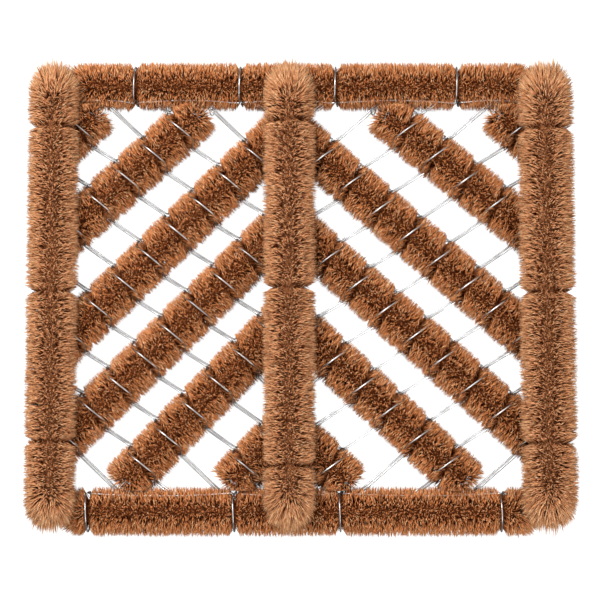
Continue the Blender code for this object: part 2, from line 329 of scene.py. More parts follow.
def place(name, mesh, material, slot, *nodes):
    """The mesh as a piece that rides on the root and stands for nodes of the frame."""
    mesh.materials.append(material)
    piece = bpy.data.objects.new(name, mesh)
    bpy.context.scene.collection.objects.link(piece)
    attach(piece, "root")
    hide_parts(*nodes)
    return piece


class Shell:
    """Gathers closed surfaces into one mesh."""

    def __init__(self):
        self.points, self.triangles, self.uv, self.count = [], [], [], 0

    def add(self, points, triangles, uv):
        self.points.append(points)
        self.triangles.append(triangles + self.count)
        self.uv.append(uv)
        self.count += len(points)

    def mesh(self, name):
        """Each surface keeps its own band of the map, so that none lie over each other."""
        bands = len(self.uv)
        uv = np.concatenate([(band * [1, 1 / bands] + [0, row / bands]) for row, band in enumerate(self.uv)])
        return fresh_mesh(name, np.concatenate(self.points), np.concatenate(self.triangles), uv, {})


def grid_triangles(rows, columns):
    """Triangles of a grid whose columns close on themselves."""
    row, column = np.meshgrid(np.arange(rows - 1), np.arange(columns), indexing="ij")
    following = (column + 1) % columns
    a, b = row * columns + column, row * columns + following
    c, d = a + columns, b + columns
    return np.concatenate([np.stack([a, b, d], -1).reshape(-1, 3), np.stack([a, d, c], -1).reshape(-1, 3)])


def capped_triangles(rows, columns):
    """The grid's triangles, with a fan at each end to one more point: first the start's, then the end's."""
    corner = np.arange(columns)
    following = (corner + 1) % columns
    start, end = rows * columns, rows * columns + 1
    last = (rows - 1) * columns
    start_cap = np.stack([np.full(columns, start), following, corner], -1)
    end_cap = np.stack([np.full(columns, end), last + corner, last + following], -1)
    return np.concatenate([grid_triangles(rows, columns), start_cap, end_cap])


def tube(path, radius, sides=8, reference=(1.0, 1.0, 1.0)):
    """A round wire with domed ends: point = path(t) + radius * (cos a * first normal + sin a * second)."""
    ways = unit(np.gradient(path, axis=0))
    reference = unit(np.asarray(reference, float))
    first = unit(reference - (ways @ reference)[:, None] * ways)
    second = np.cross(ways, first)
    angles = np.linspace(0, 2 * np.pi, sides, endpoint=False)
    ring = np.cos(angles)[None, :, None] * first[:, None] + np.sin(angles)[None, :, None] * second[:, None]
    points = (path[:, None] + radius * ring).reshape(-1, 3)
    caps = np.array([path[0] - 0.4 * radius * ways[0], path[-1] + 0.4 * radius * ways[-1]])
    along = np.repeat(np.linspace(0.02, 0.98, len(path)), sides)
    around = np.tile(0.1 + 0.8 * (1 - np.abs(1 - 2 * np.arange(sides) / sides)), len(path))
    uv = np.concatenate([np.stack([along, around], -1), [[0.0, 0.5], [1.0, 0.5]]])
    return np.concatenate([points, caps]), capped_triangles(len(path), sides), uv


def smooth_line(points, steps):
    """A curve through the points whose slope at each is that of the line between its neighbours."""
    points = np.asarray(points, float)
    slopes = np.gradient(points, axis=0)
    share = (np.arange(steps) / steps)[None, :, None]
    a, b, m, n = (x[:, None] for x in (points[:-1], points[1:], slopes[:-1], slopes[1:]))
    square, cube = share**2, share**3
    curve = (
        (2 * cube - 3 * square + 1) * a
        + (cube - 2 * square + share) * m
        + (3 * square - 2 * cube) * b
        + (cube - square) * n
    )
    return np.concatenate([curve.reshape(-1, 3), points[-1:]])


# ------------------------------------------------------------------ brushes


class Core:
    """The line that a brush's fibres stand round: it lies in an upright plane, whose normal is side."""

    def __init__(self, points):
        self.points = np.asarray(points, float)
        lengths = np.linalg.norm(np.diff(self.points, axis=0), axis=1)
        self.along = np.concatenate([[0.0], np.cumsum(lengths)])
        self.length = self.along[-1]
        self.ways = unit(np.gradient(self.points, self.along, axis=0))
        across = self.points[-1] - self.points[0]
        self.side = unit(np.array([across[1], -across[0], 0.0]))

    def at(self, along):
        """Point, way and upward normal at each distance along the core, straight on past its ends."""
        inside = np.clip(along, 0, self.length)
        point = np.stack([np.interp(inside, self.along, x) for x in self.points.T], -1)
        way = unit(np.stack([np.interp(inside, self.along, x) for x in self.ways.T], -1))
        point = point + (along - inside)[:, None] * way
        return point, way, np.cross(self.side, way)

    def out(self, along, turn, radius):
        """The point at radius from the core, turned from the side towards the upward normal."""
        point, way, rise = self.at(along)
        angle = 2 * np.pi * turn
        return point + radius[:, None] * (np.cos(angle)[:, None] * self.side + np.sin(angle)[:, None] * rise)


class Parting:
    """A place along a core where a wire presses the fibres apart."""

    def __init__(self, place, width, push, dip, slant=0.0, upper=True, lower=True):
        self.place, self.width, self.push, self.dip, self.slant = place, width, push, dip, slant
        self.upper, self.lower = upper, lower

    def near(self, along, turn, radius):
        """How far the fibres are past the wire, and how much it presses them, from 0 to 1."""
        angle = 2 * np.pi * turn
        past = along - self.place - self.slant * radius * np.cos(angle)
        height = np.sin(angle)
        held = np.clip(0.5 + 3 * height, 0, 1) * self.upper + np.clip(0.5 - 3 * height, 0, 1) * self.lower
        return past, np.exp(-((past / self.width) ** 2)) * np.minimum(held, 1)


def fibre_coat(core, radius, partings, rng, lowest, dome, split):
    """Fibres round a core. Each is a double cone from a root out to a ring of three points and on to a tip.

    Tips lie evenly over a rounded cylinder whose ends bulge past the core by dome: there the radius is
    radius * sqrt(1 - (past / dome)^2), and the roots draw in along the core, so that the fibres fan out. Tips
    also lean towards the middle of the fibre's tuft and away from each parting wire, and near the crown they
    stray sideways by about split turns. Returns points, triangles, and for each point its tint and its share
    of the radius.
    """
    coir = bpy.context.scene.door_mat_coir
    length = core.length + 2 * dome
    count = int(length / MM * coir.fibres_per_mm)
    index = np.arange(count)
    along = (index + rng.random(count)) / count * length - dome
    turn = (index * GOLDEN_TURN + rng.normal(0, 0.01, count)) % 1.0

    around = round(2 * np.pi * radius / coir.tuft_pitch)
    slices = int(length / coir.tuft_pitch) + 2
    offset = rng.random(slices)
    cell = (along + dome) / coir.tuft_pitch
    row = cell.astype(int)
    column = np.floor((turn + offset[row]) * around).astype(int) % around
    tuft = rng.random((slices, around, 5))[row, column]
    shift = (0.1 + 0.8 * tuft[:, 0] - cell % 1) * coir.tuft_pitch
    swing = (0.1 + 0.8 * tuft[:, 1] - ((turn + offset[row]) * around) % 1) / around
    pull = rng.uniform(0.0, 0.8, count)

    crown = (turn + 0.25) % 1.0 - 0.5
    tip_turn = turn + pull * swing + rng.normal(0, 0.014, count)
    tip_turn += split * rng.normal(0, 1, count) * np.exp(-((crown / 0.12) ** 2))
    grown = 1.02 + 0.07 * (tuft[:, 2] - 0.5) + rng.normal(0, 0.025, count)
    grown *= 1 - 0.2 * rng.random(count) ** 4
    lean = pull * shift + rng.normal(0, 0.12, count) * radius
    for parting in partings:
        past, near = parting.near(along + lean, tip_turn, radius)
        lean += np.sign(past) * parting.push * near
        grown *= 1 - parting.dip * near
    grown *= 1 - 0.25 * np.clip(np.abs(lean) / radius, 0, 1) ** 2

    past_end = np.maximum(-along, along - core.length)
    drawn = ROOT_DRAW * np.maximum(past_end + 0.45 * dome, 0)
    root_along = along + np.where(along < core.length / 2, drawn, -drawn)
    profile = np.sqrt(1 - np.clip(past_end / dome, 0, 0.995) ** 2)

    root_share = coir.heart_share * 0.8
    ring_share = rng.uniform(0.66, 0.88, count)
    axis = core.at(root_along)[0]
    tip = core.out(along, tip_turn, radius * profile) + lean[:, None] * core.at(along)[1]
    tip = axis + grown[:, None] * (tip - axis)
    root = core.out(root_along, turn, radius * root_share * (0.35 + 0.65 * profile))
    halfway = (ring_share - root_share) / (1 - root_share)
    ring = root + halfway[:, None] * (tip - root) + rng.normal(0, 0.012, (count, 3)) * radius
    for points, spare in ((root, 2.0), (ring, 1.2), (tip, 0.5)):
        floor = lowest + spare * MM * rng.random(count)
        points[:, 2] = np.maximum(points[:, 2], floor)

    width = coir.fibre_width / math.sqrt(3) * rng.uniform(0.6, 1.3, count)
    first = unit(np.cross(tip - root, rng.normal(0, 1, (count, 3))))
    second = np.cross(unit(tip - root), first)
    angles = np.array([0, 2, 4]) * np.pi / 3
    rings = ring[:, None] + width[:, None, None] * (
        np.cos(angles)[None, :, None] * first[:, None] + np.sin(angles)[None, :, None] * second[:, None]
    )
    points = np.concatenate([root[:, None], rings, tip[:, None]], 1)
    pattern = np.array([[0, 2, 1], [0, 3, 2], [0, 1, 3], [4, 1, 2], [4, 2, 3], [4, 3, 1]])
    triangles = pattern[None] + 5 * index[:, None, None]

    tint = 0.5 + 0.2 * rng.normal(0, 1, count) + 0.3 * (tuft[:, 3] - 0.5)
    tint += 0.2 * np.clip(past_end / dome, 0, 1)
    tints = np.clip(tint[:, None] + np.array([0, -0.03, 0, 0.03, 0.015]), 0.01, 0.99)
    # The shares also set the colour: low shares take the root colour, which is painted shade deep in the
    # brush.
    shares = np.stack([np.full(count, root_share), *[ring_share * grown] * 3, grown], 1)
    shares = np.clip(0.9 * shares, 0, 0.99)
    return points.reshape(-1, 3), triangles.reshape(-1, 3), tints.ravel(), shares.ravel()


def heart(core, radius, rng, lowest):
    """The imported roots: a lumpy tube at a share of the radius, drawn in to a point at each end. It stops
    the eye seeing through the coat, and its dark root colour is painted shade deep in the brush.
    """
    coir = bpy.context.scene.door_mat_coir
    columns = 20
    rows = int(core.length / (2.4 * MM)) + 2
    along = np.repeat(np.linspace(0, core.length, rows), columns)
    turn = np.tile(np.arange(columns) / columns, rows)
    swell = radius * coir.heart_share * (1 + 0.10 * rng.normal(0, 1, along.size))
    from_end = np.minimum(along, core.length - along) / (0.5 * radius)
    swell *= np.sqrt(np.clip(from_end * (2 - np.minimum(from_end, 1)), 0.0004, 1))
    points = core.out(along, turn, swell)
    points[:, 2] = np.maximum(points[:, 2], lowest + 0.3 * MM)
    ends = core.at(np.array([-0.2 * MM, core.length + 0.2 * MM]))[0]
    points = np.concatenate([points, ends])
    triangles = capped_triangles(rows, columns)[:, ::-1]
    tint = rng.uniform(0.15, 0.6, len(points))
    # The heart's low shares give it the dark root colour: painted shade deep in the brush.
    return points, triangles, tint, rng.uniform(0.30, 0.42, len(points))


def make_brush(name, core, radius, partings, material, slot, seed, lowest=0.2 * MM, limit=None, **coat):
    """A coat of fibres and its heart as one piece. limit is the largest |y| that a tip may reach."""
    rng = np.random.default_rng(bpy.context.scene.door_mat_coir.seed * 1000 + seed)
    points, triangles, tint, share = fibre_coat(core, radius, partings, rng, lowest, **coat)
    inner, inner_triangles, inner_tint, inner_share = heart(core, radius, rng, lowest)
    points_all = np.concatenate([points, inner])
    if limit is not None:
        edge = limit - 1.5 * MM * rng.random(len(points_all))
        points_all[:, 1] = np.clip(points_all[:, 1], -edge, edge)
    tints, shares = np.concatenate([tint, inner_tint]), np.concatenate([share, inner_share])
    mesh = fresh_mesh(
        name,
        points_all,
        np.concatenate([triangles, inner_triangles + len(points)]),
        np.stack([tints, shares], -1),
        {"tint": tints, "share": shares},
    )
    return place(name + "_fibres", mesh, material, slot, name)


def upright_core(side):
    """From one foot up, round the bend, along the top and down to the other foot."""
    low, high = node_box(f"{side}_upright_core")
    top = high[2] - weave.core_radius
    leg = high[1] - weave.core_radius
    bend = 7 * MM
    turns = np.linspace(0, np.pi / 2, 9)
    foot = weave.core_height + 4 * MM
    arc = np.stack([np.zeros(9), leg - bend * (1 - np.cos(turns)), top - bend * (1 - np.sin(turns))], -1)
    half = np.concatenate([[[0, leg, foot]], arc])
    path = np.concatenate([half * [1, -1, 1], half[::-1]])
    return path + [weave.upright_x[side], 0, 0]


def rail_core(rail, short):
    """Straight along the rail, and short of the frame's core at both ends."""
    reach = weave.rail_reach - short
    return np.array([[x, RAILS[rail] * weave.rail_y, weave.core_height] for x in (-reach, 0, reach)])


def strip_core(bay, number):
    """From the strip's outer end to its inner end."""
    start, end = weave.strips[bay][number - 1]
    return np.array([start, (start + end) / 2, end])


def wrap_places(rail):
    """Where the binding passes round the outer side of the rail."""
    points = node_points(f"{rail}_rail_binding")
    outer = points[RAILS[rail] * points[:, 1] > weave.rail_y + 8 * MM]
    return clusters(outer[:, 0], 10 * MM)


def tie_places(side):
    """How far along Y each tie of an upright lies."""
    return [np.mean(node_box(f"{side}_upright_tie_{number}"), axis=0)[1] for number in (1, 2, 3)]


# ------------------------------------------------------------------ materials


def add_node(tree, kind, **settings):
    """A new node with its settings."""
    node = tree.nodes.new(kind)
    for key, value in settings.items():
        setattr(node, key, value)
    return node


def new_group(name, inputs, outputs):
    """An empty node group with named sockets, and its input and output node."""
    tree = bpy.data.node_groups.new(name, "ShaderNodeTree")
    for in_out, sockets in (("INPUT", inputs), ("OUTPUT", outputs)):
        for label, kind in sockets.items():
            tree.interface.new_socket(label, in_out=in_out, socket_type=f"NodeSocket{kind}")
    return tree, add_node(tree, "NodeGroupInput"), add_node(tree, "NodeGroupOutput")


def coir_group():
    """Colour and roughness of a fibre from its tint and from how far out it is; darker towards the root,
    which is painted shade deep in the brush.
    """
    colours = {name: "Color" for name in ("Shaded root", "Tip", "Straw", "Umber")}
    tree, given, result = new_group(
        "coir_fibre", colours | {"Tint": "Float", "Share": "Float"}, {"Colour": "Color", "Roughness": "Float"}
    )
    link = tree.links.new

    def mask(source, low, high):
        node = add_node(tree, "ShaderNodeMapRange", interpolation_type="SMOOTHSTEP")
        node.inputs["From Min"].default_value = low
        node.inputs["From Max"].default_value = high
        link(given.outputs[source], node.inputs["Value"])
        return node.outputs["Result"]

    def mixed(factor, a, b):
        node = add_node(tree, "ShaderNodeMix", data_type="RGBA")
        link(factor, node.inputs["Factor"])
        link(a, node.inputs["A"])
        link(b, node.inputs["B"])
        return node.outputs["Result"]

    # The darker colour towards the fibres' roots is painted shade deep in the brush.
    depth_shade = mixed(mask("Share", 0.40, 0.90), given.outputs["Shaded root"], given.outputs["Tip"])
    pale = add_node(tree, "ShaderNodeMath", operation="MULTIPLY")
    link(mask("Tint", 0.55, 0.92), pale.inputs[0])
    link(mask("Share", 0.45, 0.85), pale.inputs[1])
    dark = mixed(mask("Tint", 0.42, 0.05), depth_shade, given.outputs["Umber"])
    link(mixed(pale.outputs[0], dark, given.outputs["Straw"]), result.inputs["Colour"])
    rough = add_node(tree, "ShaderNodeMapRange")
    rough.inputs["To Min"].default_value = 0.9
    rough.inputs["To Max"].default_value = 0.62
    link(given.outputs["Tint"], rough.inputs["Value"])
    link(rough.outputs["Result"], result.inputs["Roughness"])
    return tree


def zinc_group():
    """Colour, roughness and height of a dull zinc coat, from two sizes of mottling."""
    tree, given, result = new_group(
        "zinc_coat",
        {"Zinc": "Color", "Dull": "Color", "Place": "Vector"},
        {"Colour": "Color", "Roughness": "Float", "Height": "Float"},
    )
    link = tree.links.new
    coarse = add_node(tree, "ShaderNodeTexNoise")
    coarse.inputs["Scale"].default_value = 90.0
    coarse.inputs["Detail"].default_value = 3.0
    fine = add_node(tree, "ShaderNodeTexNoise")
    fine.inputs["Scale"].default_value = 1400.0
    for noise in (coarse, fine):
        link(given.outputs["Place"], noise.inputs["Vector"])
    patches = add_node(tree, "ShaderNodeMapRange", interpolation_type="SMOOTHSTEP")
    patches.inputs["From Min"].default_value = 0.42
    patches.inputs["From Max"].default_value = 0.68
    link(coarse.outputs["Fac"], patches.inputs["Value"])
    mix = add_node(tree, "ShaderNodeMix", data_type="RGBA")
    link(patches.outputs["Result"], mix.inputs["Factor"])
    link(given.outputs["Zinc"], mix.inputs["A"])
    link(given.outputs["Dull"], mix.inputs["B"])
    link(mix.outputs["Result"], result.inputs["Colour"])
    rough = add_node(tree, "ShaderNodeMapRange")
    rough.inputs["To Min"].default_value = 0.2
    rough.inputs["To Max"].default_value = 0.42
    link(coarse.outputs["Fac"], rough.inputs["Value"])
    link(rough.outputs["Result"], result.inputs["Roughness"])
    link(fine.outputs["Fac"], result.inputs["Height"])
    return tree


def shared_group(name, builder):
    """The node group of that name, built once."""
    return bpy.data.node_groups.get(name) or builder()


def coir_material(name, root, tip):
    """Coir whose fibres darken towards their roots, as painted shade deep in the brush, and differ in tint.
    """
    finish = bpy.context.scene.door_mat_finish
    made = bpy.data.materials.get(name)
    if made:
        return made
    made = bpy.data.materials.new(name)
    made.use_nodes = True
    tree = made.node_tree
    shader = tree.nodes["Principled BSDF"]
    shader.inputs["Specular IOR Level"].default_value = 0.04
    group = add_node(tree, "ShaderNodeGroup", node_tree=shared_group("coir_fibre", coir_group))
    for socket, colour in (("Shaded root", root), ("Tip", tip), ("Straw", finish.straw), ("Umber", finish.umber)):
        group.inputs[socket].default_value = (*colour, 1.0)
    for label, socket in (("tint", "Tint"), ("share", "Share")):
        source = add_node(tree, "ShaderNodeAttribute", attribute_name=label)
        tree.links.new(source.outputs["Fac"], group.inputs[socket])
    tree.links.new(group.outputs["Colour"], shader.inputs["Base Color"])
    tree.links.new(group.outputs["Roughness"], shader.inputs["Roughness"])
    return made


def upright_coir():
    """Lighter tan coir."""
    finish = bpy.context.scene.door_mat_finish
    return coir_material("bristle_tan", finish.upright_root_shade, finish.upright_tip)


def lower_coir():
    """Darker reddish coir."""
    finish = bpy.context.scene.door_mat_finish
    return coir_material("bristle_brown", finish.lower_root_shade, finish.lower_tip)


def galvanised():
    """Bright drawn wire under a mottled zinc coat."""
    made = bpy.data.materials.get("zinc_wire")
    if made:
        return made
    made = bpy.data.materials.new("zinc_wire")
    made.use_nodes = True
    tree = made.node_tree
    shader = tree.nodes["Principled BSDF"]
    shader.inputs["Metallic"].default_value = 1.0
    place_on = add_node(tree, "ShaderNodeTexCoord")
    group = add_node(tree, "ShaderNodeGroup", node_tree=shared_group("zinc_coat", zinc_group))
    zinc = tuple(bpy.context.scene.door_mat_finish.zinc)
    group.inputs["Zinc"].default_value = (*zinc, 1.0)
    group.inputs["Dull"].default_value = (*(0.62 * x for x in zinc), 1.0)
    tree.links.new(place_on.outputs["Object"], group.inputs["Place"])
    bump = add_node(tree, "ShaderNodeBump")
    bump.inputs["Strength"].default_value = 0.25
    bump.inputs["Distance"].default_value = 0.0001
    tree.links.new(group.outputs["Colour"], shader.inputs["Base Color"])
    tree.links.new(group.outputs["Roughness"], shader.inputs["Roughness"])
    tree.links.new(group.outputs["Height"], bump.inputs["Height"])
    tree.links.new(bump.outputs["Normal"], shader.inputs["Normal"])
    return made


# ------------------------------------------------------------------ wires


def twisted_core(core):
    """Two strands side by side, turning about the core's line."""
    wires = bpy.context.scene.door_mat_wires
    shell = Shell()
    along = np.arange(0, core.length, 1.6 * MM)
    for strand in (0.0, 0.5):
        turn = along / wires.twist_pitch + strand
        path = core.out(along, turn, np.full(len(along), 0.52 * wires.strand_diameter))
        shell.add(*tube(path, wires.strand_diameter / 2, sides=6))
    return shell


# A row wire past one strip: millimetres along the row from the crossing, and shares of the knee, of the hook
# and of the height over the core. The knee is the sideways step at a strip's edge, and the hook is the under
# wire's reach along that edge.
OVER_ALONG = np.array([-19.6, -17.8, -15.6, -12.6, -9, -4.5, 0, 4.5, 9, 12.6, 15.6, 17.8, 19.6])
OVER_KNEE = np.array([0.5, 0.36, -0.28, -0.38, -0.27, -0.13, 0, 0.13, 0.27, 0.38, 0.2, -0.34, -0.5])
OVER_RISE = np.array([0, 0.2, 0.5, 0.73, 0.885, 0.975, 1, 0.975, 0.885, 0.73, 0.5, 0.2, 0])
UNDER_ALONG = np.array([-19.6, -18.4, -17.3, -15.6, -12, -6, 0, 6, 12, 16.2, 18.2, 19.6])
UNDER_KNEE = np.array([0.5, 0.52, 0.2, 0.0, 0.0, 0.0, 0.0, 0.0, -0.1, -0.3, -0.42, -0.5])
UNDER_HOOK = np.array([0, 0.3, 0.8, 1.15, 1.2, 0.9, 0.6, 0.3, 0.1, 0, 0, 0])
UNDER_RISE = np.array([0, -0.02, -0.08, -0.3, -0.72, -0.95, -1, -0.95, -0.72, -0.35, -0.1, 0])


ROW_OUTREACH = 8 * MM  # of the rows past the outer uprights' core lines
END_ROOM = 3 * MM  # of straight wire at a row's two ends
END_LIFT = 3 * MM  # of a row's end where it meets a rail
KNOTTED_ROWS = 2, 11
KNOT_REACH = 20 * MM  # from the outer upright's core line
KNOT_DROP = 9 * MM  # from the far rail's selvedge
KNOT_LIFT = 3 * MM


def row_strands(bay, node):
    """The over and the under wire of a row in one bay, from the outer end to the inner."""
    wires = bpy.context.scene.door_mat_wires
    start, way, lie = weave.row_start(bay, node), weave.row_way(bay), weave.strip_way[bay]
    selvedge = weave.rail_y - SELVEDGE_INSET
    fall = -way[1]
    first = max(-ROW_OUTREACH, (start[1] - selvedge) / fall)
    width = abs(weave.upright_x["centre"] - weave.upright_x[bay]) / abs(way[0])
    last = min(width, (start[1] + selvedge) / fall)
    strands = []
    for along, knee, hook, rise, gap in (
        (OVER_ALONG, OVER_KNEE, 0 * OVER_ALONG, OVER_RISE, -0.5),
        (UNDER_ALONG, UNDER_KNEE, UNDER_HOOK, UNDER_RISE, 0.5),
    ):
        stations = [
            np.stack(
                [crossing + along * MM, knee * wires.knee + hook * wires.hook, rise * wires.over_height], -1
            )
            for crossing, _, present in weave.crossings(bay, node)
            if present
        ]
        stations = np.concatenate([np.empty((0, 3)), *sorted(stations, key=lambda rows: rows[0, 0])])
        inside = (stations[:, 0] > first + END_ROOM) & (stations[:, 0] < last - END_ROOM)
        ends = [[first, 0, END_LIFT if first > 0 else 0], [last, 0, END_LIFT if last < width - MM else 0]]
        stations = np.concatenate([ends[:1], stations[inside], ends[1:]])
        sideways = stations[:, 1] + gap * wires.pair_gap
        strands.append(start + stations[:, :1] * way + sideways[:, None] * lie + stations[:, 2:] * UP)
    return strands


def row_path(*runs):
    """One wire through runs of points, one after another, kept above the floor."""
    path = smooth_line(np.concatenate(runs), 4)
    path[:, 2] = np.maximum(path[:, 2], WIRE_FLOOR)
    return path


def knot(middle):
    """Two tight turns of wire round middle: a tilted helix about Z, longer along Y than along X."""
    turns = np.linspace(0, 4 * np.pi, 40)
    rise = np.linspace(-0.8, 0.8, 40) + 1.2 * np.sin(turns)
    path = middle + MM * np.stack([1.7 * np.cos(turns), 2.8 * np.sin(turns), rise], -1)
    return tube(path, FINE_RADIUS, reference=(0, 0, 1))


def binding_wire(rail):
    """Along the rail's inner shoulder, dipping into its bristles, with a turn round the rail at each wrap."""
    side = RAILS[rail]
    radius = weave.bound_radius + BINDING_PROUD

    def on_rail(x, turn, dip=0.0):
        angle = SELVEDGE_SHOULDER + turn
        level = max(weave.core_height + radius * math.sin(angle), WIRE_FLOOR)
        return [x, side * (weave.rail_y - radius * math.cos(angle) + dip), level]

    previous, last = weave.upright_x["left"] + 14 * MM, weave.upright_x["right"] - 14 * MM
    points = [on_rail(previous, 0)]
    for station in (*wrap_places(rail), last):
        for share in (0.2, 0.4, 0.6, 0.8):
            dip = BINDING_DIP * math.sin(math.pi * share)
            points.append(on_rail(previous + (station - previous) * share, 0, dip))
        if station != last:
            turns = np.linspace(0, 1, 17)
            points += [on_rail(station + WRAP_LEAD * (turn - 0.5), 2 * math.pi * turn) for turn in turns]
        previous = station
    points.append(on_rail(last, 0))
    return smooth_line(points, 3)


def tie_wire(side, place_y):
    """Two turns round the core, pulled tight: a helix about the upright's core line."""
    x = weave.upright_x[side]
    low, high = node_box(f"{side}_upright_core")
    height = high[2] - weave.core_radius
    turns = np.linspace(-0.3, 4.2 * np.pi, 60)
    advance = np.linspace(-0.8 * MM, 0.8 * MM, 60)
    return np.stack(
        [x + TIE_RADIUS * np.cos(turns), place_y + advance, height + TIE_RADIUS * np.sin(turns)], -1
    )


# ------------------------------------------------------------------ operators


def strip_partings(bay, number):
    """Grooves where the row wires cross a strip: above for the over wire, below for the under one."""
    wires = bpy.context.scene.door_mat_wires
    slant = -0.2 * BAYS[bay]
    found = []
    for node in weave.row_nodes(bay):
        _, along, present = weave.crossings(bay, node)[number - 1]
        if present:
            found.append(Parting(along - 0.5 * wires.pair_gap, *OVER_PARTING, slant=slant, lower=False))
            found.append(Parting(along + 0.6 * wires.hook, *UNDER_PARTING, upper=False))
    return found


class DOORMAT_OT_upright_brushes(bpy.types.Operator):
    """Make the coir of the three uprights"""

    bl_idname = "doormat.upright_brushes"
    bl_label = "Upright brushes"

    def execute(self, context):
        for seed, side in enumerate(SIDES):
            low, high = node_box(f"{side}_upright_bristles")
            radius = (high[0] - low[0]) / 2
            middle = (low + high) / 2
            middle[2] = high[2] - radius
            reach = np.array([0, (high[1] - low[1]) / 2 - radius, 0])
            core = Core([middle - reach, middle, middle + reach])
            partings = [Parting(core.length / 2 + y, *TIE_PARTING) for y in tie_places(side)]
            make_brush(
                f"{side}_upright_bristles", core, radius, partings, upright_coir(), "upright_coir", seed,
                lowest=weave.under_uprights - UPRIGHT_DROOP, dome=radius + 2.5 * MM, split=0.032,
            )
        return {"FINISHED"}


class DOORMAT_OT_rail_brushes(bpy.types.Operator):
    """Make the coir of the far and the near rail"""

    bl_idname = "doormat.rail_brushes"
    bl_label = "Rail brushes"

    def execute(self, context):
        for seed, rail in enumerate(RAILS, 10):
            core = Core(rail_core(rail, RAIL_COAT_SHORT))
            partings = [Parting(core.length / 2 + x, *WRAP_PARTING) for x in wrap_places(rail)]
            make_brush(
                f"{rail}_rail_bristles", core, weave.rail_radius, partings, lower_coir(), "lower_coir", seed,
                dome=0.9 * weave.rail_radius, split=0.016,
            )
        return {"FINISHED"}


class DOORMAT_OT_strip_brushes(bpy.types.Operator):
    """Make the coir of the slanted strips in both bays"""

    bl_idname = "doormat.strip_brushes"
    bl_label = "Strip brushes"

    def execute(self, context):
        radius = weave.bound_radius + context.scene.door_mat_coir.strip_overhang
        limit = weave.rail_y - 0.8 * weave.rail_radius
        for bay in BAYS:
            for number in STRIPS:
                core = Core(strip_core(bay, number))
                seed = 20 + 10 * (BAYS[bay] < 0) + number
                make_brush(
                    f"{bay}_strip_{number}_bristles", core, radius, strip_partings(bay, number), lower_coir(),
                    "lower_coir", seed, limit=limit, dome=0.35 * radius, split=0.016,
                )
        return {"FINISHED"}


class DOORMAT_OT_brush_cores(bpy.types.Operator):
    """Make the twisted core of each brush"""

    bl_idname = "doormat.brush_cores"
    bl_label = "Brush cores"

    def execute(self, context):
        lines = {f"{side}_upright_core": upright_core(side) for side in SIDES}
        lines |= {f"{rail}_rail_core": rail_core(rail, RAIL_CORE_SHORT) for rail in RAILS}
        lines |= {f"{bay}_strip_{number}_core": strip_core(bay, number) for bay in BAYS for number in STRIPS}
        for name, line in lines.items():
            mesh = twisted_core(Core(line)).mesh(name)
            place(name + "_strands", mesh, galvanised(), "galvanised_wire", name)
        return {"FINISHED"}


class DOORMAT_OT_row_wires(bpy.types.Operator):
    """Make the wires that cross the strips"""

    bl_idname = "doormat.row_wires"
    bl_label = "Row wires"

    def execute(self, context):
        radius = context.scene.door_mat_wires.row_diameter / 2
        for row in ROWS_ACROSS:
            name = f"row_wire_{row}"
            (over, under), (far_over, far_under) = (row_strands(bay, name) for bay in BAYS)
            shell = Shell()
            shell.add(*tube(row_path(over, far_over[::-1], far_under, under[::-1]), radius))
            if row == KNOTTED_ROWS[0]:
                for bay, strand in zip(BAYS, (over, far_over)):
                    shell.add(*knot(strand[0] + KNOT_DROP * weave.row_way(bay)))
            place(name + "_strands", shell.mesh(name), galvanised(), "galvanised_wire", name)
        for row in ROWS_IN_BAY:
            for bay in BAYS:
                name = f"{bay}_row_wire_{row}"
                over, under = row_strands(bay, name)
                shell = Shell()
                shell.add(*tube(row_path(over[::-1], under), radius))
                if row == KNOTTED_ROWS[1]:
                    beside = weave.row_start(bay, name) + KNOT_REACH * weave.row_way(bay)
                    shell.add(*knot(beside + KNOT_LIFT * UP))
                place(name + "_strands", shell.mesh(name), galvanised(), "galvanised_wire", name)
        return {"FINISHED"}


class DOORMAT_OT_rail_bindings(bpy.types.Operator):
    """Make the wires that bind the rails"""

    bl_idname = "doormat.rail_bindings"
    bl_label = "Rail bindings"

    def execute(self, context):
        for rail in RAILS:
            name = f"{rail}_rail_binding"
            shell = Shell()
            shell.add(*tube(binding_wire(rail), context.scene.door_mat_wires.row_diameter / 2))
            place(name + "_wire", shell.mesh(name), galvanised(), "galvanised_wire", name)
        return {"FINISHED"}


class DOORMAT_OT_upright_ties(bpy.types.Operator):
    """Make the ties that pinch the uprights"""

    bl_idname = "doormat.upright_ties"
    bl_label = "Upright ties"

    def execute(self, context):
        for side in SIDES:
            for number, y in enumerate(tie_places(side), 1):
                name = f"{side}_upright_tie_{number}"
                shell = Shell()
                shell.add(*tube(tie_wire(side, y), FINE_RADIUS, reference=(0, 1, 0.2)))
                place(name + "_wire", shell.mesh(name), galvanised(), "galvanised_wire", name)
        return {"FINISHED"}


def area_light(name, location, size, power):
    """A square soft light that faces the middle of the mat."""
    lamp = bpy.data.lights.new(name, "AREA")
    lamp.size = size
    lamp.energy = power
    obj = bpy.data.objects.new(name, lamp)
    obj.location = location
    obj.rotation_mode = "QUATERNION"
    obj.rotation_quaternion = (-Vector(location)).to_track_quat("-Z", "Y")
    bpy.context.scene.collection.objects.link(obj)


def floor_paint(colour):
    """A pale floor that the camera sees as white."""
    paint = bpy.data.materials.new("pale_floor")
    paint.use_nodes = True
    tree = paint.node_tree
    shader = tree.nodes["Principled BSDF"]
    shader.inputs["Base Color"].default_value = (*colour, 1.0)
    shader.inputs["Roughness"].default_value = 0.9
    shader.inputs["Specular IOR Level"].default_value = 0.1
    shader.inputs["Emission Color"].default_value = (1, 1, 1, 1)
    seen = add_node(tree, "ShaderNodeLightPath").outputs["Is Camera Ray"]
    tree.links.new(seen, shader.inputs["Emission Strength"])
    return paint


